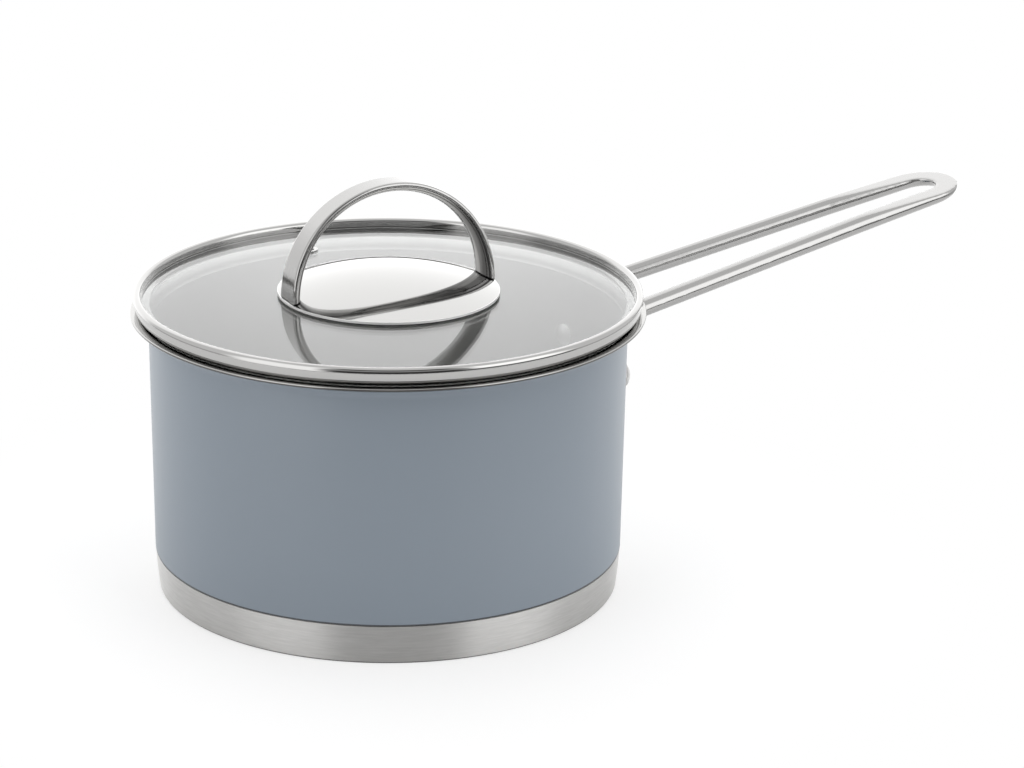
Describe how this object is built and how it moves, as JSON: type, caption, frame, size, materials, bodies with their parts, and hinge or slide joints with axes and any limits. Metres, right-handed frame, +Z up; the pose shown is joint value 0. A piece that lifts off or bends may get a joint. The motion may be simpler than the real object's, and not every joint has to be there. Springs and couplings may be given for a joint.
{
  "type": "saucepan with glass lid",
  "caption": "Round painted steel saucepan with a bare sandwich base, a flared pouring rim, a long bent-rod handle and a lift-off glass lid with a steel ring and an arched strap knob.",
  "frame": {"origin": "centre of the base's underside, where the pan stands", "axes": "+Z up, +X along the long handle away from the pan"},
  "size_m": [0.3096, 0.1744, 0.1417],
  "materials": {
    "pan_steel": "brushed stainless steel",
    "wall_paint": "satin grey-blue paint",
    "core_aluminium": "plain rolled aluminium",
    "handle_steel": "satin-polished stainless steel",
    "polished_steel": "mirror-polished stainless steel",
    "lid_glass": "clear tempered glass",
    "dark_silicone": "matt dark silicone"
  },
  "bodies": {
    "pan": {"pan_shell": "pan_steel", "paint_coat": "wall_paint", "base_cap": "pan_steel", "heat_spreader": "core_aluminium", "handle_loop": "handle_steel", "handle_rivets": "handle_steel"},
    "lid": {"lid_glass": "lid_glass", "lid_ring": "polished_steel", "vent_eyelet": "polished_steel", "knob_plate": "polished_steel", "knob_seal": "dark_silicone", "knob_arch": "polished_steel", "knob_boss": "pan_steel", "hole_bush": "dark_silicone", "lower_washer": "dark_silicone", "cup_washer": "pan_steel", "knob_screw": "pan_steel"}
  },
  "joints": [
    {"name": "lid_lift", "type": "slide", "parent": "pan", "child": "lid", "axis": [0, 0, 1], "range_m": [0, 0.1]}
  ]
}
